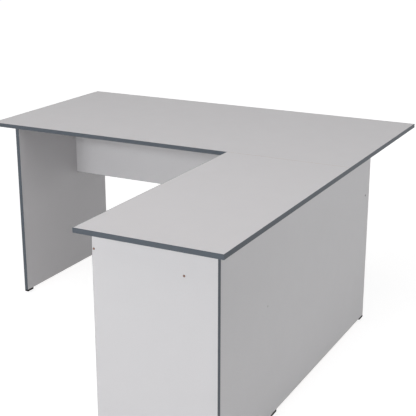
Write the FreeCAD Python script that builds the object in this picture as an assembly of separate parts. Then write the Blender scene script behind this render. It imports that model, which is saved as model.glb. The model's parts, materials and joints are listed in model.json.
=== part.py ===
import FreeCAD, Part
import math
import os

# An L-shaped office desk: a main worktop and a return worktop of melamine-faced board, butted at a
# seam and carried by panel legs and a modesty panel.  Lengths are in millimetres.
# +X runs right along the main worktop, +Y to the back, +Z up.  The origin is on the floor, under the
# middle of the desk's outer box.

# Worktops
desk_height = 750.0
main_length = 1600.0
main_depth = 800.0
return_length = 1000.0
return_width = 490.0
top_thickness = 16.0
top_band = 2.0
band_rounding = 0.8
seam_gap = 0.8

# Panels
panel_thickness = 16.0
panel_band = 1.0
left_panel_inset = 120.0
left_panel_depth = 640.0
modesty_setback = 410.0
modesty_height = 284.0
end_panel_setback = 95.0
right_panel_inset = 65.0

# Levelling feet
shoe_length = 40.0
shoe_width = 18.0
shoe_height = 7.5
shoe_gap = 0.5
shoe_inset = 0.5
shoe_corner_radius = 3.0
shoe_rounding = 1.0
shoe_floor = 1.5
shoe_web = 0.8
pocket_length = 24.0
pocket_wall = 2.2
middle_foot_distance = 420.0
swivel_radius = 5.0
swivel_thickness = 1.5
swivel_clearance = 0.2
collar_across_flats = 11.0
collar_clearance = 0.2
stem_radius = 3.0
stem_length = 30.0
stem_chamfer = 0.8
stem_hole_clearance = 0.5
thread_clearance = 0.05
insert_radius = 4.75
insert_length = 20.0

# Fixings hidden in the boards
fixing_clearance = 0.1
hole_end_clearance = 0.5
cam_radius = 7.5
cam_depth = 12.5
cam_edge_distance = 34.0
cam_slot_width = 1.6
cam_slot_length = 9.0
cam_cross_length = 6.5
cam_slot_depth = 2.0
cam_bolt_radius = 3.5
cam_bolt_neck_radius = 2.0
cam_bolt_neck_length = 5.0
cam_bolt_head_length = 3.0
cam_bolt_thread_radius = 2.5
cam_bolt_thread_length = 11.0
cam_end_margin = 150.0
modesty_cam_margin = 95.0
dowel_radius = 4.0
dowel_chamfer = 1.0
dowel_face_depth = 10.0
dowel_edge_depth = 19.0
dowel_end_margin = 90.0
modesty_dowel_margin = 45.0
seam_dowel_depth = 20.0
seam_margin = 70.0

# Plugs that show as small dots on the panels' outer faces
plug_radius = 4.0
plug_thickness = 0.8
plug_stub_radius = 3.0
plug_stub_length = 9.0
front_plug_edge_distance = 7.0
front_plug_drop = 78.0
middle_plug_distance = 315.0
middle_plug_drop = 110.0
side_plug_distance = 350.0
side_plug_drop = 315.0
rear_plug_distance = 45.0
rear_plug_drop = 197.0

# Plates under the seam between the worktops
plate_length = 120.0
plate_width = 40.0
plate_thickness = 2.5
plate_corner_radius = 4.0
plate_count = 3
plate_screw_inner = 18.0
plate_screw_outer = 46.0
plate_screw_radius = 2.0
plate_screw_head_radius = 4.0
plate_screw_length = 14.0
plate_screw_recess_width = 1.0
plate_screw_recess_length = 4.0
plate_screw_recess_depth = 1.5

# Places worked out from the sizes above
left_x = -main_length / 2
right_x = main_length / 2
return_left_x = right_x - return_width
front_y = -(main_depth + return_length) / 2
back_y = (main_depth + return_length) / 2
main_front_y = back_y - main_depth
seam_y = main_front_y + top_band
underside_z = desk_height - top_thickness
panel_bottom_z = shoe_height + shoe_gap

left_panel_x = left_x + left_panel_inset
left_panel_inner_x = left_panel_x + panel_thickness
left_panel_rear_y = main_front_y + left_panel_depth
right_panel_x = right_x - right_panel_inset
right_panel_inner_x = right_panel_x - panel_thickness
modesty_y = main_front_y + modesty_setback
modesty_rear_y = modesty_y + panel_thickness
modesty_bottom_z = underside_z - modesty_height
end_panel_y = front_y + end_panel_setback
end_panel_rear_y = end_panel_y + panel_thickness

left_panel_mid_x = left_panel_x + panel_thickness / 2
right_panel_mid_x = right_panel_x - panel_thickness / 2
modesty_mid_y = modesty_y + panel_thickness / 2
end_panel_mid_y = end_panel_y + panel_thickness / 2

east = FreeCAD.Vector(1, 0, 0)
north = FreeCAD.Vector(0, 1, 0)
up = FreeCAD.Vector(0, 0, 1)

pieces = {}
groups = {}
holes = {}


def point(x, y, z):
    return FreeCAD.Vector(x, y, z)


def box(low, high):
    """A block between two opposite corners."""
    size = high - low
    return Part.makeBox(size.x, size.y, size.z, low)


def rod(radius, length, start, direction):
    return Part.makeCylinder(radius, length, start, direction)


def turned(profile, start, direction):
    """A turned solid: (radius, distance) points spun about the line from start along direction."""
    outline = [point(radius, 0, distance) for radius, distance in profile]
    face = Part.Face(Part.makePolygon(outline + outline[:1]))
    solid = face.revolve(point(0, 0, 0), up, 360)
    solid.Placement = FreeCAD.Placement(start, FreeCAD.Rotation(up, direction))
    return solid


def spread(start, end, margin, count):
    """Evenly spaced places from start + margin to end - margin."""
    first = start + margin
    step = (end - start - 2 * margin) / (count - 1)
    return [first + step * index for index in range(count)]


def add_to_group(node, solid):
    groups.setdefault(node, []).append(solid)


def drill(board, tool):
    holes.setdefault(board, []).append(tool)


def edge_band(low, high, outward):
    """A glued edge band whose two long outer arrises are rounded."""
    band = box(low, high)
    outer = max(band.Faces, key=lambda face: face.CenterOfMass.dot(outward))
    longest = max(edge.Length for edge in outer.Edges)
    long_edges = [edge for edge in outer.Edges if edge.Length > longest - 0.01]
    return band.makeFillet(band_rounding, long_edges)


def make_worktops():
    """Two boards in one plane, banded on every edge that shows and bare at the seam."""
    pieces["main_top"] = box(point(left_x + top_band, seam_y, underside_z),
                             point(right_x - top_band, back_y - top_band, desk_height))
    pieces["main_front_band"] = edge_band(point(left_x, main_front_y, underside_z),
                                          point(return_left_x - seam_gap, seam_y, desk_height), -north)
    pieces["main_back_band"] = edge_band(point(left_x, back_y - top_band, underside_z),
                                         point(right_x, back_y, desk_height), north)
    pieces["main_left_band"] = edge_band(point(left_x, seam_y, underside_z),
                                         point(left_x + top_band, back_y - top_band, desk_height), -east)
    pieces["main_right_band"] = edge_band(point(right_x - top_band, seam_y, underside_z),
                                          point(right_x, back_y - top_band, desk_height), east)

    joint_y = seam_y - seam_gap
    pieces["return_top"] = box(point(return_left_x + top_band, front_y + top_band, underside_z),
                               point(right_x - top_band, joint_y, desk_height))
    pieces["return_front_band"] = edge_band(point(return_left_x, front_y, underside_z),
                                            point(right_x, front_y + top_band, desk_height), -north)
    pieces["return_left_band"] = edge_band(point(return_left_x, front_y + top_band, underside_z),
                                           point(return_left_x + top_band, joint_y, desk_height), -east)
    pieces["return_right_band"] = edge_band(point(right_x - top_band, front_y + top_band, underside_z),
                                            point(right_x, joint_y, desk_height), east)


def make_left_panel():
    """The leg under the main worktop's left end, flush with its front edge."""
    front_board_y = main_front_y + panel_band
    rear_board_y = left_panel_rear_y - panel_band
    pieces["left_end_panel"] = box(point(left_panel_x, front_board_y, panel_bottom_z),
                                   point(left_panel_inner_x, rear_board_y, underside_z))
    pieces["left_panel_front_band"] = edge_band(point(left_panel_x, main_front_y, panel_bottom_z),
                                                point(left_panel_inner_x, front_board_y, underside_z), -north)
    rear_top_corner = point(left_panel_inner_x, left_panel_rear_y, underside_z)
    pieces["left_panel_rear_band"] = edge_band(point(left_panel_x, rear_board_y, panel_bottom_z),
                                               rear_top_corner, north)


def make_return_panels():
    """The return's end panel, and the side panel that runs from it back to the modesty panel."""
    left_board_x = return_left_x + panel_band
    right_board_x = right_panel_x - panel_band
    pieces["return_end_panel"] = box(point(left_board_x, end_panel_y, panel_bottom_z),
                                     point(right_board_x, end_panel_rear_y, underside_z))
    pieces["end_panel_left_band"] = edge_band(point(return_left_x, end_panel_y, panel_bottom_z),
                                              point(left_board_x, end_panel_rear_y, underside_z), -east)
    pieces["end_panel_right_band"] = edge_band(point(right_board_x, end_panel_y, panel_bottom_z),
                                               point(right_panel_x, end_panel_rear_y, underside_z), east)

    rear_board_y = modesty_rear_y - panel_band
    pieces["right_side_panel"] = box(point(right_panel_inner_x, end_panel_rear_y, panel_bottom_z),
                                     point(right_panel_x, rear_board_y, underside_z))
    pieces["right_panel_rear_band"] = edge_band(point(right_panel_inner_x, rear_board_y, panel_bottom_z),
                                                point(right_panel_x, modesty_rear_y, underside_z), north)


def make_modesty_panel():
    """The panel that hangs under the main worktop between the left and right panels."""
    board_bottom_z = modesty_bottom_z + panel_band
    pieces["modesty_panel"] = box(point(left_panel_inner_x, modesty_y, board_bottom_z),
                                  point(right_panel_inner_x, modesty_rear_y, underside_z))
    pieces["modesty_bottom_band"] = edge_band(point(left_panel_inner_x, modesty_y, modesty_bottom_z),
                                              point(right_panel_inner_x, modesty_rear_y, board_bottom_z), -up)


def cam_fitting(panel, board, joint, into_board, to_face):
    """A cam lock in a panel's face, pulling on a bolt screwed into the board that the panel's edge meets.

    joint is the place on the panel's middle plane where its edge meets the board, into_board points
    from the edge into that board, and to_face points to the face where the cam is turned.
    """
    centre = joint - into_board * cam_edge_distance
    bore_depth = cam_depth + hole_end_clearance
    face_offset = panel_thickness / 2
    drill(panel, rod(cam_radius, bore_depth, centre + to_face * face_offset, -to_face))
    drill(panel, rod(cam_bolt_radius + fixing_clearance, cam_edge_distance, joint, -into_board))
    drill(board, rod(cam_bolt_thread_radius + fixing_clearance,
                     cam_bolt_thread_length + hole_end_clearance, joint, into_board))

    lock = rod(cam_radius - fixing_clearance, cam_depth, centre + to_face * face_offset, -to_face)
    head_radius = cam_bolt_radius + fixing_clearance
    lock = lock.cut(rod(head_radius, cam_edge_distance, centre - into_board * head_radius, into_board))
    across = to_face.cross(into_board)
    turn = FreeCAD.Rotation(into_board, across, to_face, "XYZ")
    for length, width in ((cam_slot_length, cam_slot_width), (cam_slot_width, cam_cross_length)):
        recess = Part.makeBox(length, width, cam_slot_depth, point(-length / 2, -width / 2, -cam_slot_depth))
        recess.Placement = FreeCAD.Placement(centre + to_face * face_offset, turn)
        lock = lock.cut(recess)
    add_to_group("cam_locks", lock)

    head_start = -cam_edge_distance - cam_bolt_head_length / 2
    head_end = head_start + cam_bolt_head_length
    neck_end = head_end + cam_bolt_neck_length
    bolt_profile = [
        (0, head_start),
        (cam_bolt_radius, head_start),
        (cam_bolt_radius, head_end),
        (cam_bolt_neck_radius, head_end),
        (cam_bolt_neck_radius, neck_end),
        (cam_bolt_radius, neck_end),
        (cam_bolt_radius, 0),
        (cam_bolt_thread_radius, 0),
        (cam_bolt_thread_radius, cam_bolt_thread_length),
        (0, cam_bolt_thread_length),
    ]
    add_to_group("cam_bolts", turned(bolt_profile, joint, into_board))


def wood_dowel(node, edge_board, face_board, joint, into_face, edge_depth, face_depth):
    """A grooveless wooden dowel, edge_depth in one board and face_depth in the other."""
    radius = dowel_radius
    profile = [
        (0, -edge_depth),
        (radius - dowel_chamfer, -edge_depth),
        (radius, -edge_depth + dowel_chamfer),
        (radius, face_depth - dowel_chamfer),
        (radius - dowel_chamfer, face_depth),
        (0, face_depth),
    ]
    add_to_group(node, turned(profile, joint, into_face))
    hole_radius = radius + fixing_clearance
    drill(edge_board, rod(hole_radius, edge_depth + hole_end_clearance, joint, -into_face))
    drill(face_board, rod(hole_radius, face_depth + hole_end_clearance, joint, into_face))


def panel_dowel(edge_board, face_board, joint, into_face):
    wood_dowel("panel_dowels", edge_board, face_board, joint, into_face, dowel_edge_depth, dowel_face_depth)


def make_panel_fixings():
    """Cam fittings and dowels where the panels' edges meet the worktops and each other."""
    for y in spread(main_front_y, left_panel_rear_y, cam_end_margin, 2):
        cam_fitting("left_end_panel", "main_top", point(left_panel_mid_x, y, underside_z), up, -east)
    for y in spread(main_front_y, left_panel_rear_y, dowel_end_margin, 2):
        panel_dowel("left_end_panel", "main_top", point(left_panel_mid_x, y, underside_z), up)

    for x in spread(left_panel_inner_x, right_panel_inner_x, cam_end_margin, 3):
        cam_fitting("modesty_panel", "main_top", point(x, modesty_mid_y, underside_z), up, north)
    for x in spread(left_panel_inner_x, right_panel_inner_x, dowel_end_margin, 2):
        panel_dowel("modesty_panel", "main_top", point(x, modesty_mid_y, underside_z), up)

    for y in spread(main_front_y, modesty_y, cam_end_margin, 2):
        cam_fitting("right_side_panel", "main_top", point(right_panel_mid_x, y, underside_z), up, -east)
    for y in spread(main_front_y, modesty_y, dowel_end_margin, 2):
        panel_dowel("right_side_panel", "main_top", point(right_panel_mid_x, y, underside_z), up)
    for y in spread(end_panel_rear_y, main_front_y, cam_end_margin, 2):
        cam_fitting("right_side_panel", "return_top", point(right_panel_mid_x, y, underside_z), up, -east)
    for y in spread(end_panel_rear_y, main_front_y, dowel_end_margin, 2):
        panel_dowel("right_side_panel", "return_top", point(right_panel_mid_x, y, underside_z), up)

    for x in spread(return_left_x, right_panel_inner_x, cam_end_margin, 2):
        cam_fitting("return_end_panel", "return_top", point(x, end_panel_mid_y, underside_z), up, north)
    for x in spread(return_left_x, right_panel_inner_x, dowel_end_margin, 2):
        panel_dowel("return_end_panel", "return_top", point(x, end_panel_mid_y, underside_z), up)

    for z in spread(panel_bottom_z, underside_z, cam_end_margin, 2):
        cam_fitting("right_side_panel", "return_end_panel", point(right_panel_mid_x, end_panel_rear_y, z),
                    -north, -east)
    for z in spread(panel_bottom_z, underside_z, dowel_end_margin, 2):
        panel_dowel("right_side_panel", "return_end_panel", point(right_panel_mid_x, end_panel_rear_y, z),
                    -north)

    modesty_ends = (
        ("left_end_panel", left_panel_inner_x, -east),
        ("right_side_panel", right_panel_inner_x, east),
    )
    for panel, x, outward in modesty_ends:
        for z in spread(modesty_bottom_z, underside_z, modesty_cam_margin, 2):
            cam_fitting("modesty_panel", panel, point(x, modesty_mid_y, z), outward, north)
        for z in spread(modesty_bottom_z, underside_z, modesty_dowel_margin, 2):
            panel_dowel("modesty_panel", panel, point(x, modesty_mid_y, z), outward)


def hole_plug(node, panel, face, inward):
    """A push-in plug that closes a drilled hole in a panel's outer face."""
    profile = [
        (0, -plug_thickness),
        (plug_radius - plug_thickness, -plug_thickness),
        (plug_radius, 0),
        (plug_stub_radius, 0),
        (plug_stub_radius, plug_stub_length),
        (0, plug_stub_length),
    ]
    add_to_group(node, turned(profile, face, inward))
    hole_depth = plug_stub_length + hole_end_clearance
    drill(panel, rod(plug_stub_radius + fixing_clearance, hole_depth, face, inward))


def make_plugs():
    """The plugs on the end panel's front and on the right panel's outer side."""
    front_plug_x = return_left_x + front_plug_edge_distance
    middle_plug_x = return_left_x + middle_plug_distance
    for x, drop in ((front_plug_x, front_plug_drop), (middle_plug_x, middle_plug_drop)):
        hole_plug("end_panel_plugs", "return_end_panel", point(x, end_panel_y, underside_z - drop), north)
    side_plug_y = end_panel_y + side_plug_distance
    rear_plug_y = modesty_rear_y - rear_plug_distance
    for y, drop in ((side_plug_y, side_plug_drop), (rear_plug_y, rear_plug_drop)):
        hole_plug("side_panel_plugs", "right_side_panel", point(right_panel_x, y, underside_z - drop), -east)


def seam_plate(centre_x):
    """A steel plate under both worktops, with countersunk screws on each side of the seam."""
    top_z = underside_z
    bottom_z = underside_z - plate_thickness
    centre_y = seam_y - seam_gap / 2
    plate = box(point(centre_x - plate_width / 2, centre_y - plate_length / 2, bottom_z),
                point(centre_x + plate_width / 2, centre_y + plate_length / 2, top_z))
    corner_edges = [edge for edge in plate.Edges if abs(edge.Length - plate_thickness) < 0.01]
    plate = plate.makeFillet(plate_corner_radius, corner_edges)

    recess_long = plate_screw_recess_length / 2
    recess_short = plate_screw_recess_width / 2
    taper = plate_screw_head_radius - plate_screw_radius
    screw_profile = [
        (0, 0),
        (plate_screw_head_radius, 0),
        (plate_screw_radius, taper),
        (plate_screw_radius, plate_screw_length),
        (0, plate_screw_length),
    ]
    for offset in (-plate_screw_outer, -plate_screw_inner, plate_screw_inner, plate_screw_outer):
        start = point(centre_x, centre_y + offset, bottom_z)
        plate = plate.cut(Part.makeCone(plate_screw_head_radius + fixing_clearance,
                                        plate_screw_radius + fixing_clearance, taper, start, up))
        plate = plate.cut(rod(plate_screw_radius + fixing_clearance, plate_thickness, start, up))
        screw = turned(screw_profile, start, up)
        for half_x, half_y in ((recess_long, recess_short), (recess_short, recess_long)):
            screw = screw.cut(box(start - point(half_x, half_y, 0),
                                  start + point(half_x, half_y, plate_screw_recess_depth)))
        add_to_group("seam_plate_screws", screw)
        board = "return_top" if offset < 0 else "main_top"
        drill(board, rod(plate_screw_radius + fixing_clearance,
                         plate_screw_length + hole_end_clearance, start, up))
    add_to_group("seam_plates", plate)


def make_seam():
    """What holds the two worktops together: plates below, and dowels between the plates."""
    plate_places = spread(return_left_x, right_panel_inner_x, seam_margin, plate_count)
    for x in plate_places:
        seam_plate(x)
    middle_z = desk_height - top_thickness / 2
    for left, right in zip(plate_places, plate_places[1:]):
        joint = point((left + right) / 2, seam_y, middle_z)
        wood_dowel("seam_dowels", "return_top", "main_top", joint, north, seam_dowel_depth, seam_dowel_depth)


def foot_shoe(swivel_top, pocket_floor):
    """An oblong plastic shoe along X, with a socket for the stem's disc and a pocket for its collar.

    The pocket is open on the +Y side, where a spanner reaches the collar.
    """
    half_length = shoe_length / 2
    half_width = shoe_width / 2
    shoe = box(point(-half_length, -half_width, 0), point(half_length, half_width, shoe_height))
    upright_edges = [edge for edge in shoe.Edges if abs(edge.tangentAt(0).z) > 0.5]
    shoe = shoe.makeFillet(shoe_corner_radius, upright_edges)
    bottom_edges = [edge for edge in shoe.Edges if edge.BoundBox.ZMax < shoe_rounding / 2]
    shoe = shoe.makeFillet(shoe_rounding, bottom_edges)

    pocket = box(point(-pocket_length / 2, pocket_wall - half_width, pocket_floor),
                 point(pocket_length / 2, half_width, shoe_height))
    centre = point(0, 0, shoe_floor)
    socket = rod(swivel_radius + swivel_clearance, swivel_top + swivel_clearance - shoe_floor, centre, up)
    neck = rod(stem_radius + swivel_clearance, shoe_height, centre, up)
    return shoe.cut([pocket, socket, neck])


def levelling_foot(name, panel, x, y, along, open_side):
    """A shoe along the panel, on a threaded stem that screws into an insert in the panel's bottom edge."""
    floor_point = point(x, y, 0)
    swivel_bottom = shoe_floor + swivel_clearance
    swivel_top = swivel_bottom + swivel_thickness
    pocket_floor = swivel_top + swivel_clearance + shoe_web
    shoe = foot_shoe(swivel_top, pocket_floor)
    shoe.Placement = FreeCAD.Placement(floor_point, FreeCAD.Rotation(along, open_side, up, "XYZ"))
    pieces[name + "_foot_shoe"] = shoe

    collar_bottom = pocket_floor + collar_clearance
    collar_top = shoe_height - collar_clearance
    stem_top = collar_top + stem_length
    stem_profile = [
        (0, swivel_bottom),
        (swivel_radius, swivel_bottom),
        (swivel_radius, swivel_top),
        (stem_radius, swivel_top),
        (stem_radius, stem_top - stem_chamfer),
        (stem_radius - stem_chamfer, stem_top),
        (0, stem_top),
    ]
    stem = turned(stem_profile, floor_point, up)
    corner_radius = collar_across_flats / math.sqrt(3)
    corners = [point(x + corner_radius * math.cos(math.radians(60 * turn)),
                     y + corner_radius * math.sin(math.radians(60 * turn)), collar_bottom)
               for turn in range(6)]
    hexagon = Part.Face(Part.makePolygon(corners + corners[:1]))
    collar = hexagon.extrude(up * (collar_top - collar_bottom))
    pieces[name + "_foot_stem"] = stem.fuse(collar).removeSplitter()

    seat = point(x, y, panel_bottom_z)
    insert = rod(insert_radius, insert_length, seat, up)
    add_to_group("foot_inserts", insert.cut(rod(stem_radius + thread_clearance, insert_length, seat, up)))
    drill(panel, rod(insert_radius + fixing_clearance, insert_length, seat, up))
    drill(panel, rod(stem_radius + stem_hole_clearance,
                     stem_top + hole_end_clearance - panel_bottom_z, seat, up))


def make_feet():
    """Two levelling feet under each panel that stands on the floor, with pockets on its less seen side."""
    end_distance = shoe_length / 2 + shoe_inset
    side_feet = (
        ("left_front", "left_end_panel", left_panel_mid_x, main_front_y + end_distance),
        ("left_rear", "left_end_panel", left_panel_mid_x, left_panel_rear_y - end_distance),
        ("right_middle", "right_side_panel", right_panel_mid_x, end_panel_y + middle_foot_distance),
        ("right_rear", "right_side_panel", right_panel_mid_x, modesty_rear_y - end_distance),
    )
    for name, panel, x, y in side_feet:
        levelling_foot(name, panel, x, y, north, -east)
    for name, x in (("end_left", return_left_x + end_distance), ("end_right", right_panel_x - end_distance)):
        levelling_foot(name, "return_end_panel", x, end_panel_mid_y, east, north)


def finish_desk():
    """Drill the boards, then write each piece and each group of like fixings to its own file."""
    for board, tools in holes.items():
        pieces[board] = pieces[board].cut(tools)
    for node, solids in groups.items():
        pieces[node] = Part.makeCompound(solids)
    os.makedirs("parts", exist_ok=True)
    for node, shape in pieces.items():
        shape.exportStep("parts/" + node + ".step")
        print(node, len(shape.Solids), "solids, valid:", shape.isValid(), "volume:", round(shape.Volume, 1))


make_worktops()
make_left_panel()
make_return_panels()
make_modesty_panel()
make_panel_fixings()
make_plugs()
make_seam()
make_feet()
finish_desk()
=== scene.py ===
import json
import math

import bpy
import numpy as np
from mathutils import Matrix, Vector


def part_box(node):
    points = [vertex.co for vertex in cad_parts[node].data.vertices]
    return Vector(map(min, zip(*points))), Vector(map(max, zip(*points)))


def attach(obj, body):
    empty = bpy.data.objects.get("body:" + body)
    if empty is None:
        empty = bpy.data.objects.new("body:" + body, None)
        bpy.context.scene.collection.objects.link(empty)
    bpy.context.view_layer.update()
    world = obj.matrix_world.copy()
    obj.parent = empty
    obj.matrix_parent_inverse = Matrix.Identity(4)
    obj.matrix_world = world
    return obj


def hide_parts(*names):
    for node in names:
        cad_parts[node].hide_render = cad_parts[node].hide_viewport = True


# An L-shaped office desk: its finishes, the threaded stems of its feet, studio light and a camera.
# Lengths are in metres and angles in degrees, unless a name says otherwise.

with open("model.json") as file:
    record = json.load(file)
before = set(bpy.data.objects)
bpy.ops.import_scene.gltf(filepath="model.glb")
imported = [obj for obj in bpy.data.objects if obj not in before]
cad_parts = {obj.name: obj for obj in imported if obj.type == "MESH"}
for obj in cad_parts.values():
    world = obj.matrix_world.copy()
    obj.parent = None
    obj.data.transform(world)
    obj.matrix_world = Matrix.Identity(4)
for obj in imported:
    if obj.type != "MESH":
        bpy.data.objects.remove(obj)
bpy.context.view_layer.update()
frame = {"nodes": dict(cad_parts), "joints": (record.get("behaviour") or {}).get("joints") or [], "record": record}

# The desk's directions, as the numbers of its axes
across = 0
front_to_back = 1
upright = 2

# Heights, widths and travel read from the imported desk
bottom_edge_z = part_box("left_end_panel")[0].z
seam_low_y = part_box("return_top")[1].y
seam_high_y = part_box("main_top")[0].y
collar_low_corner, collar_high_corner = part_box("left_front_foot_stem")
collar_flat = (collar_high_corner.y - collar_low_corner.y) / 2
collar_corner = (collar_high_corner.x - collar_low_corner.x) / 2
foot_travel = max(joint["range_m"][1] for joint in frame["joints"] if joint["type"] == "slide")

# The photograph's viewpoint, seen by a camera whose picture is as wide as it is high
picture_pixels = 416
sensor_width_mm = 36.0
focal_pixels = 976.4
camera_azimuth = 27.45
camera_elevation = 17.50
camera_roll = 0.03
camera_distance = 3.8265
camera_aim = Vector((0.2056, 0.1508, 0.5))

# Studio light: each softbox has its place, the point it faces, its width and height, its watts and its colour
surround_level = 0.25
warm_light = (1.0, 0.965, 0.965)
cool_light = (0.975, 0.99, 1.0)
softboxes = {
    "low_front_softbox": ((-0.6, -7.0, 1.2), (0.2, 0.0, 0.5), (4.0, 2.0), 120.0, cool_light),
    "high_front_softbox": ((-0.6, -7.0, 3.2), (0.2, 0.0, 0.7), (3.0, 0.6), 136.0, cool_light),
    "back_softbox": ((1.5, 6.0, 0.9), (0.0, 0.4, 0.4), (4.0, 1.4), 36.0, warm_light),
    "left_softbox": ((-5.0, -2.0, 3.5), (0.2, 0.0, 0.6), (3.0, 3.0), 56.0, warm_light),
    "right_softbox": ((3.5, 0.2, 1.6), (0.7, 0.2, 0.5), (1.5, 1.5), 18.8, cool_light),
    "overhead_softbox": ((0.2, -0.6, 4.0), (0.2, -0.2, 0.75), (3.0, 3.0), 38.3, warm_light),
    "return_softbox": ((0.5, -1.4, 2.2), (0.5, -0.6, 0.75), (1.5, 1.5), 5.9, warm_light),
}

# Floor: a glow makes up for the light that it lacks, so that where it is open it comes out about white
floor_size = 60.0
floor_clearance = 0.0002
floor_reflectance = 0.9
floor_glow = 1.37
near_glow_share = 0.6
far_glow_share = 0.7
shadow_fade_start = 1.6
shadow_fade_end = 3.0

# Stem of a levelling foot
thread_pitch = 0.001
thread_depth = 0.00055
thread_run_out = 0.001
stem_radius = 0.003
swivel_radius = 0.005
swivel_thickness = 0.0015
collar_height = 0.0029
collar_top_below_panel = 0.0007
collar_bevel = 0.0005
tip_chamfer = 0.0008
stem_sides = 48
stations_per_turn = 8

# Finishes: colours are linear red, green and blue, scales are features per metre, spans are the part of a
# noise that counts, and shares, shine and roughness go from 0 to 1
noise_roughness = 0.55

# Melamine facing, and the chipboard that shows where a board was sawn
melamine_grey = (0.585, 0.578, 0.588)
melamine_fleck = (0.545, 0.538, 0.548)
facing_ior = 1.5
facing_roughness = 0.4
pebble_scale = 900.0
pebble_depth = 0.00006
pebble_roughness = 0.06
fleck_scale = 420.0
fleck_span = (0.42, 0.7)
fleck_share = 0.6
cloud_scale = 14.0
cloud_share = 0.25
cloud_roughness = 0.08
chip_light = (0.56, 0.41, 0.25)
chip_dark = (0.25, 0.16, 0.085)
chip_scale = (260.0, 260.0, 700.0)
sawn_roughness = 0.4
sawn_margin = 0.0001

# Slate edge band
slate = (0.088, 0.102, 0.119)
slate_pale = (0.104, 0.118, 0.136)
band_ior = 1.5
band_shine = 0.1
band_roughness = 0.36
band_tone_span = (0.35, 0.75)
drawn_line_scale = 900.0
drawn_line_scale_lengthwise = 4.0
drawn_line_share = 0.6
drawn_line_roughness = 0.14
drawn_line_depth = 0.00004
bloom_scale = 60.0

# Moulded plastic of the feet and plugs
foot_black = (0.003, 0.003, 0.0035)
foot_black_worn = (0.006, 0.006, 0.0065)
foot_grain_scale = 1600.0
foot_roughness = 0.46
foot_shine = 0.05
plug_brown = (0.17, 0.09, 0.065)
plug_brown_pale = (0.22, 0.12, 0.09)
plug_grey = (0.13, 0.127, 0.128)
plug_grey_pale = (0.47, 0.468, 0.47)
plug_grain_scale = 1500.0
brown_plug_roughness = 0.4
grey_plug_roughness = 0.42
grey_plug_mottle = 0.1
plug_shine = 0.5
moulded_ior = 1.48
grain_depth = 0.00008
grain_roughness = 0.12
rubbed_scale_ratio = 0.06
rubbed_span = (0.45, 0.75)
rubbed_gloss = 0.08

# Zinc plating and die-cast zinc
zinc = (0.61, 0.62, 0.6)
zinc_warm = (0.62, 0.58, 0.47)
plating_grain_scale = 1400.0
plating_roughness = 0.26
cast_zinc = (0.48, 0.48, 0.47)
cast_zinc_dark = (0.38, 0.38, 0.38)
casting_grain_scale = 900.0
casting_roughness = 0.4
metal_grain_depth = 0.00003
metal_grain_roughness = 0.15
tint_scale = 260.0
tint_span = (0.4, 0.8)
tint_roughness = 0.08

# Beech of the dowels
beech = (0.56, 0.37, 0.2)
beech_dark = (0.45, 0.27, 0.13)
beech_ior = 1.45
beech_roughness = 0.6
beech_cloud_scale = 90.0
fibre_scale = (1500.0, 1500.0, 300.0)
fibre_span = (0.5, 0.7)
fibre_share = 0.7
fibre_depth = 0.00008
fibre_roughness = 0.2


class Signal:
    """A shader socket that Python arithmetic extends with Math nodes."""

    def __init__(self, nodes, socket):
        self.nodes = nodes
        self.socket = socket

    def math(self, operation, first, second):
        return self.nodes.add("ShaderNodeMath", {"operation": operation}, {0: first, 1: second})

    def __add__(self, other):
        return self.math("ADD", self, other)

    __radd__ = __add__

    def __sub__(self, other):
        return self.math("SUBTRACT", self, other)

    def __rsub__(self, other):
        return self.math("SUBTRACT", other, self)

    def __mul__(self, other):
        return self.math("MULTIPLY", self, other)

    __rmul__ = __mul__

    def __lt__(self, other):
        return self.math("LESS_THAN", self, other)

    def __gt__(self, other):
        return self.math("GREATER_THAN", self, other)

    def larger(self, other):
        return self.math("MAXIMUM", self, other)


class Nodes:
    """The node tree of a material or of the world."""

    def __init__(self, owner):
        owner.use_nodes = True
        self.tree = owner.node_tree

    def add(self, kind, settings=None, inputs=None, output=0):
        """Adds one node: its settings first, then the values or links of its sockets; returns one output."""
        node = self.tree.nodes.new(kind)
        for name, value in (settings or {}).items():
            setattr(node, name, value)
        for name, value in (inputs or {}).items():
            self.link(value, node.inputs[name])
        return Signal(self, node.outputs[output])

    def link(self, value, socket):
        """Links a signal to a socket, or sets the socket's own value."""
        if isinstance(value, Signal):
            self.tree.links.new(value.socket, socket)
        else:
            socket.default_value = value

    def seen(self):
        """1 for rays from the camera, in reflections and through clear things, and 0 for rays of light."""
        camera = self.add("ShaderNodeLightPath", output="Is Camera Ray")
        glossy = self.add("ShaderNodeLightPath", output="Is Glossy Ray")
        through = self.add("ShaderNodeLightPath", output="Is Transmission Ray")
        return camera.larger(glossy).larger(through)


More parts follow.
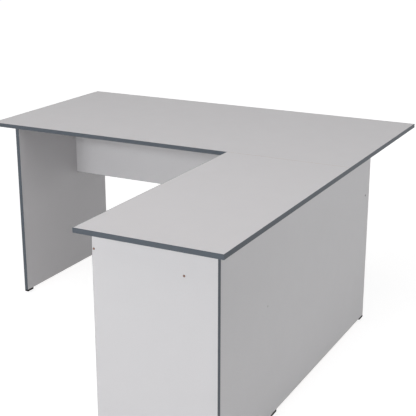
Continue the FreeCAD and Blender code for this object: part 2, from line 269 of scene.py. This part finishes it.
class Finish(Nodes):
    """A node material: constants sit on the shader's own sockets, and patterns are fed to a few of them."""

    def __init__(self, name, **constants):
        self.material = bpy.data.materials.new(name)
        super().__init__(self.material)
        self.shader = self.tree.nodes["Principled BSDF"]
        for socket, value in constants.items():
            self.shader.inputs[socket.replace("_", " ")].default_value = value

    def feed(self, socket, value):
        self.link(value, self.shader.inputs[socket])

    def place(self):
        return self.add("ShaderNodeTexCoord", output="Object")

    def along(self, axis):
        """One of the three Object coordinates."""
        return self.add("ShaderNodeSeparateXYZ", {}, {0: self.place()}, axis)

    def stretched(self, factors):
        """Object coordinates multiplied axis by axis."""
        return self.add("ShaderNodeVectorMath", {"operation": "MULTIPLY"}, {0: self.place(), 1: factors})

    def noise(self, place, scale, detail):
        return self.add("ShaderNodeTexNoise", {}, {"Vector": place, "Scale": scale, "Detail": detail,
                                                   "Roughness": noise_roughness})

    def blend(self, factor, first, second):
        """A colour that goes from first to second as factor goes from 0 to 1."""
        colours = []
        for colour in (first, second):
            colours.append(colour if isinstance(colour, Signal) else (*colour, 1.0))
        return self.add("ShaderNodeMix", {"data_type": "RGBA"}, {0: factor, 6: colours[0], 7: colours[1]}, 2)

    def between(self, signal, low, high):
        """Spreads the part of a signal from low to high over 0 to 1, and holds the ends."""
        return self.add("ShaderNodeMapRange", {"clamp": True}, {0: signal, 1: low, 2: high})

    def relief(self, height, depth, strength):
        bump = self.add("ShaderNodeBump", {}, {"Height": height, "Distance": depth, "Strength": strength})
        self.feed("Normal", bump)


def melamine_board(name, sawn_axis, sawn_low, sawn_high):
    """Light grey melamine facing with a fine pebbled press texture.

    Bare chipboard shows where the board was sawn and has no band: between two places along one axis.
    """
    finish = Finish(name, IOR=facing_ior)
    place = finish.place()
    pebble = finish.noise(place, pebble_scale, detail=2.0)
    cloud = finish.noise(place, cloud_scale, detail=4.0)
    fleck = finish.between(finish.noise(place, fleck_scale, detail=2.0), *fleck_span)
    face = finish.blend(fleck_share * fleck + cloud_share * cloud, melamine_grey, melamine_fleck)

    chips = finish.add("ShaderNodeTexVoronoi", {"feature": "F1"},
                       {"Vector": finish.stretched(chip_scale), "Scale": 1.0}, "Color")
    chip_tone = finish.add("ShaderNodeSeparateColor", {}, {0: chips})
    core = finish.blend(chip_tone, chip_dark, chip_light)

    along = finish.along(sawn_axis)
    sawn = (along > sawn_low - sawn_margin) * (along < sawn_high + sawn_margin)
    finish.feed("Base Color", finish.blend(sawn, face, core))
    satin = facing_roughness + cloud_roughness * cloud + pebble_roughness * pebble
    finish.feed("Roughness", satin + sawn_roughness * sawn)
    finish.relief(pebble, pebble_depth, strength=0.5)
    return finish.material


def slate_band(name, length_axis):
    """Slate plastic band with faint drawn lines along its length and a paler bloom where it was scraped."""
    finish = Finish(name, IOR=band_ior, Specular_IOR_Level=band_shine)
    line_scale = [drawn_line_scale] * 3
    line_scale[length_axis] = drawn_line_scale_lengthwise
    lines = finish.noise(finish.stretched(line_scale), 1.0, detail=3.0)
    bloom = finish.noise(finish.place(), bloom_scale, detail=4.0)
    tone = finish.between(drawn_line_share * lines + (1 - drawn_line_share) * bloom, *band_tone_span)
    finish.feed("Base Color", finish.blend(tone, slate, slate_pale))
    finish.feed("Roughness", band_roughness + drawn_line_roughness * lines)
    finish.relief(lines, drawn_line_depth, strength=0.5)
    return finish.material


def moulded_plastic(name, colour, pale, grain_scale, roughness, shine):
    """Moulded plastic with a fine spark-eroded grain and slightly paler rubbed patches."""
    finish = Finish(name, IOR=moulded_ior, Specular_IOR_Level=shine)
    place = finish.place()
    grain = finish.noise(place, grain_scale, detail=2.0)
    rubbed = finish.between(finish.noise(place, grain_scale * rubbed_scale_ratio, detail=4.0), *rubbed_span)
    finish.feed("Base Color", finish.blend(rubbed, colour, pale))
    finish.feed("Roughness", roughness + grain_roughness * grain - rubbed_gloss * rubbed)
    finish.relief(grain, grain_depth, strength=0.6)
    return finish.material


def side_plug_plastic():
    """Grey plug plastic: nearly the panel's own grey on the plug in front, darker on the one at the rear."""
    finish = Finish("grey_plug_plastic", IOR=moulded_ior)
    grain = finish.noise(finish.place(), plug_grain_scale, detail=2.0)
    front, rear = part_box("side_panel_plugs")
    tone = finish.between(finish.along(front_to_back), front.y, rear.y) - grey_plug_mottle * grain
    finish.feed("Base Color", finish.blend(tone, plug_grey_pale, plug_grey))
    finish.feed("Roughness", grey_plug_roughness + grain_roughness * grain)
    finish.relief(grain, grain_depth, strength=0.6)
    return finish.material


def zinc_metal(name, colour, tint, grain_scale, roughness):
    """Plated or cast zinc: fine grain in the gloss and a cloudy tint of passivation."""
    finish = Finish(name, Metallic=1.0)
    place = finish.place()
    cloud = finish.between(finish.noise(place, tint_scale, detail=4.0), *tint_span)
    grain = finish.noise(place, grain_scale, detail=3.0)
    finish.feed("Base Color", finish.blend(cloud, colour, tint))
    finish.feed("Roughness", roughness + metal_grain_roughness * grain + tint_roughness * cloud)
    finish.relief(grain, metal_grain_depth, strength=0.5)
    return finish.material


def dowel_wood():
    """Bare beech: short dark ray flecks in a pale ground."""
    finish = Finish("bare_beech", IOR=beech_ior)
    fibre = finish.noise(finish.stretched(fibre_scale), 1.0, detail=3.0)
    cloud = finish.noise(finish.place(), beech_cloud_scale, detail=3.0)
    ray_fleck = finish.between(fibre, *fibre_span)
    tone = fibre_share * ray_fleck + (1 - fibre_share) * cloud
    finish.feed("Base Color", finish.blend(tone, beech, beech_dark))
    finish.feed("Roughness", beech_roughness + fibre_roughness * fibre)
    finish.relief(fibre, fibre_depth, strength=0.6)
    return finish.material


def mesh_piece(name, points, faces, material):
    """A mesh object at the origin with smooth faces and one material."""
    mesh = bpy.data.meshes.new(name)
    mesh.from_pydata(points.tolist(), [], faces)
    mesh.materials.append(material)
    mesh.shade_smooth()
    piece = bpy.data.objects.new(name, mesh)
    bpy.context.scene.collection.objects.link(piece)
    return piece


def tube_faces(rings, sides):
    """Quads that join each ring of points to the next one, and a flat face over either end."""
    ring = np.arange(rings - 1)[:, None]
    side = np.arange(sides)[None, :]
    beside = (side + 1) % sides
    low = ring * sides
    high = low + sides
    walls = np.stack([low + side, low + beside, high + beside, high + side], -1).reshape(-1, 4).tolist()
    last_ring = (rings - 1) * sides
    low_end = [*range(sides - 1, -1, -1)]
    high_end = [*range(last_ring, last_ring + sides)]
    return walls + [low_end, high_end]


def stem_outline(low_z, high_z):
    """Stations up a foot stem as columns: height, radius, share of hexagon and share of thread.

    The stations go up the swivel disc and the neck, round the hexagonal collar and along the thread to the
    chamfered tip.
    """
    swivel_top = low_z + swivel_thickness
    collar_top = bottom_edge_z - collar_top_below_panel
    collar_low = collar_top - collar_height
    neck = [
        (low_z, swivel_radius, 0, 0),
        (swivel_top, swivel_radius, 0, 0),
        (swivel_top, stem_radius, 0, 0),
        (collar_low, stem_radius, 0, 0),
        (collar_low, collar_flat - collar_bevel, 0, 0),
        (collar_low + collar_bevel, collar_corner, 1, 0),
        (collar_top - collar_bevel, collar_corner, 1, 0),
        (collar_top, collar_flat - collar_bevel, 0, 0),
    ]
    shank_top = high_z - tip_chamfer
    turns = (shank_top - collar_top) / thread_pitch
    heights = np.linspace(collar_top, shank_top, int(turns * stations_per_turn))
    starts = np.clip((heights - collar_top) / thread_run_out, 0, 1)
    ends = np.clip((shank_top - heights) / thread_run_out, 0, 1)
    shank = np.stack([heights, np.full_like(heights, stem_radius), 0 * heights, np.minimum(starts, ends)], 1)
    tip = [(high_z, stem_radius - tip_chamfer, 0, 0)]
    return np.concatenate([neck, shank, tip])


def foot_stem(foot, material):
    """The threaded stem of a levelling foot, standing for its plain solid.

    At each station the radius is the round one, or the distance to a hexagon's flat at that angle, less the
    thread's depth times a triangle wave of height over pitch minus angle over a full turn.
    """
    node = foot + "_foot_stem"
    low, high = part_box(node)
    axis = (low + high) / 2
    height, radius, hexagon, thread = (column[:, None] for column in stem_outline(low.z, high.z).T)
    angle = np.linspace(0, 2 * math.pi, stem_sides, endpoint=False)[None, :]
    from_corner = (angle + math.pi / 6) % (math.pi / 3) - math.pi / 6
    flat_distance = collar_flat / np.cos(math.pi / 6 - np.abs(from_corner))
    around = np.where(hexagon > 0, np.minimum(radius, flat_distance), radius)
    phase = (height / thread_pitch - angle / (2 * math.pi)) % 1.0
    around = around - thread * thread_depth * np.abs(2 * phase - 1)
    points = np.stack([axis.x + around * np.cos(angle), axis.y + around * np.sin(angle),
                       height + 0 * angle], -1).reshape(-1, 3)
    stem = mesh_piece(foot + "_threaded_stem", points, tube_faces(len(height), stem_sides), material)
    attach(stem, foot + "_stem")
    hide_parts(node)


def dress_desk():
    """Gives each piece of the desk its finish."""
    zinc_plated = zinc_metal("zinc_plated_steel", zinc, zinc_warm, plating_grain_scale, plating_roughness)
    finishes = {
        "foot_plastic": moulded_plastic("black_foot_plastic", foot_black, foot_black_worn, foot_grain_scale,
                                        foot_roughness, foot_shine),
        "zinc_plated_steel": zinc_plated,
        "zinc_alloy": zinc_metal("die_cast_zinc", cast_zinc, cast_zinc_dark, casting_grain_scale,
                                 casting_roughness),
        "dowel_wood": dowel_wood(),
        "brown_plug": moulded_plastic("brown_plug_plastic", plug_brown, plug_brown_pale, plug_grain_scale,
                                      brown_plug_roughness, plug_shine),
        "grey_plug": side_plug_plastic(),
    }
    worktop_finish = melamine_board("worktop_melamine", front_to_back, seam_low_y, seam_high_y)
    panel_finish = melamine_board("panel_melamine", upright, bottom_edge_z, bottom_edge_z)
    band_finishes = [
        slate_band("slate_band_across", across),
        slate_band("slate_band_front_to_back", front_to_back),
        slate_band("slate_band_upright", upright),
    ]
    for part in frame["record"]["subparts"]:
        node = part["node"]
        slot = part["material_slot"]
        if slot == "edge_band":
            low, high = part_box(node)
            size = high - low
            material = band_finishes[list(size).index(max(size))]
        elif slot == "melamine_board":
            material = worktop_finish if node in ("main_top", "return_top") else panel_finish
        else:
            material = finishes[slot]
        frame["nodes"][node].data.materials.clear()
        frame["nodes"][node].data.materials.append(material)
    for joint in frame["joints"]:
        if joint["type"] == "hinge":
            foot_stem(joint["child"].removesuffix("_stem"), zinc_plated)


def light_studio():
    """A white surround, softboxes that stay out of reflections, and a white floor that keeps a faint shadow.

    The floor lies where the feet reach when they are screwed right out, so that no pose sinks into it.
    """
    world = bpy.data.worlds.new("white_surround")
    bpy.context.scene.world = world
    surround = Nodes(world)
    background = surround.tree.nodes["Background"]
    surround.link((1.0, 1.0, 1.0, 1.0), background.inputs["Color"])
    surround.link(surround_level + (1 - surround_level) * surround.seen(), background.inputs["Strength"])

    for name, (place, aim, size, power, colour) in softboxes.items():
        light = bpy.data.lights.new(name, "AREA")
        light.shape = "RECTANGLE"
        light.size, light.size_y = size
        light.energy = power
        light.color = colour
        lamp = bpy.data.objects.new(name, light)
        lamp.visible_glossy = False
        lamp.location = place
        lamp.rotation_euler = (Vector(aim) - Vector(place)).to_track_quat("-Z", "Y").to_euler()
        bpy.context.scene.collection.objects.link(lamp)

    white = Finish("white_floor", Roughness=1.0, Specular_IOR_Level=0.0)
    white.feed("Base Color", (floor_reflectance, floor_reflectance, floor_reflectance, 1.0))
    lit = Signal(white, white.shader.outputs[0])
    glow = white.add("ShaderNodeEmission", {}, {"Strength": floor_glow})
    distance = white.add("ShaderNodeVectorMath", {"operation": "LENGTH"}, {0: white.place()}, "Value")
    far = white.between(distance, shadow_fade_start, shadow_fade_end)
    glow_share = white.seen() * (near_glow_share + (far_glow_share - near_glow_share) * far)
    surface = white.add("ShaderNodeMixShader", {}, {0: glow_share, 1: lit, 2: glow})
    white.link(surface, white.tree.nodes["Material Output"].inputs["Surface"])
    half = floor_size / 2
    corners = np.array([(-half, -half), (half, -half), (half, half), (-half, half)])
    points = np.column_stack([corners, np.full(4, -foot_travel - floor_clearance)])
    mesh_piece("studio_floor", points, [[0, 1, 2, 3]], white.material)


def place_camera():
    """Stands the camera where the photograph was taken from."""
    camera = bpy.data.cameras.new("photo_camera")
    camera.sensor_width = sensor_width_mm
    camera.lens = focal_pixels / picture_pixels * sensor_width_mm
    holder = bpy.data.objects.new("photo_camera", camera)
    turn = Matrix.Rotation(math.radians(camera_azimuth), 4, "Z")
    tilt = Matrix.Rotation(math.radians(90 - camera_elevation), 4, "X")
    roll = Matrix.Rotation(math.radians(camera_roll), 4, "Z")
    facing = turn @ tilt @ roll
    back = facing @ Vector((0, 0, 1))
    holder.matrix_world = Matrix.Translation(camera_aim + back * camera_distance) @ facing
    bpy.context.scene.collection.objects.link(holder)
    bpy.context.scene.camera = holder


bpy.context.scene.view_settings.view_transform = "Standard"
dress_desk()
light_studio()
place_camera()
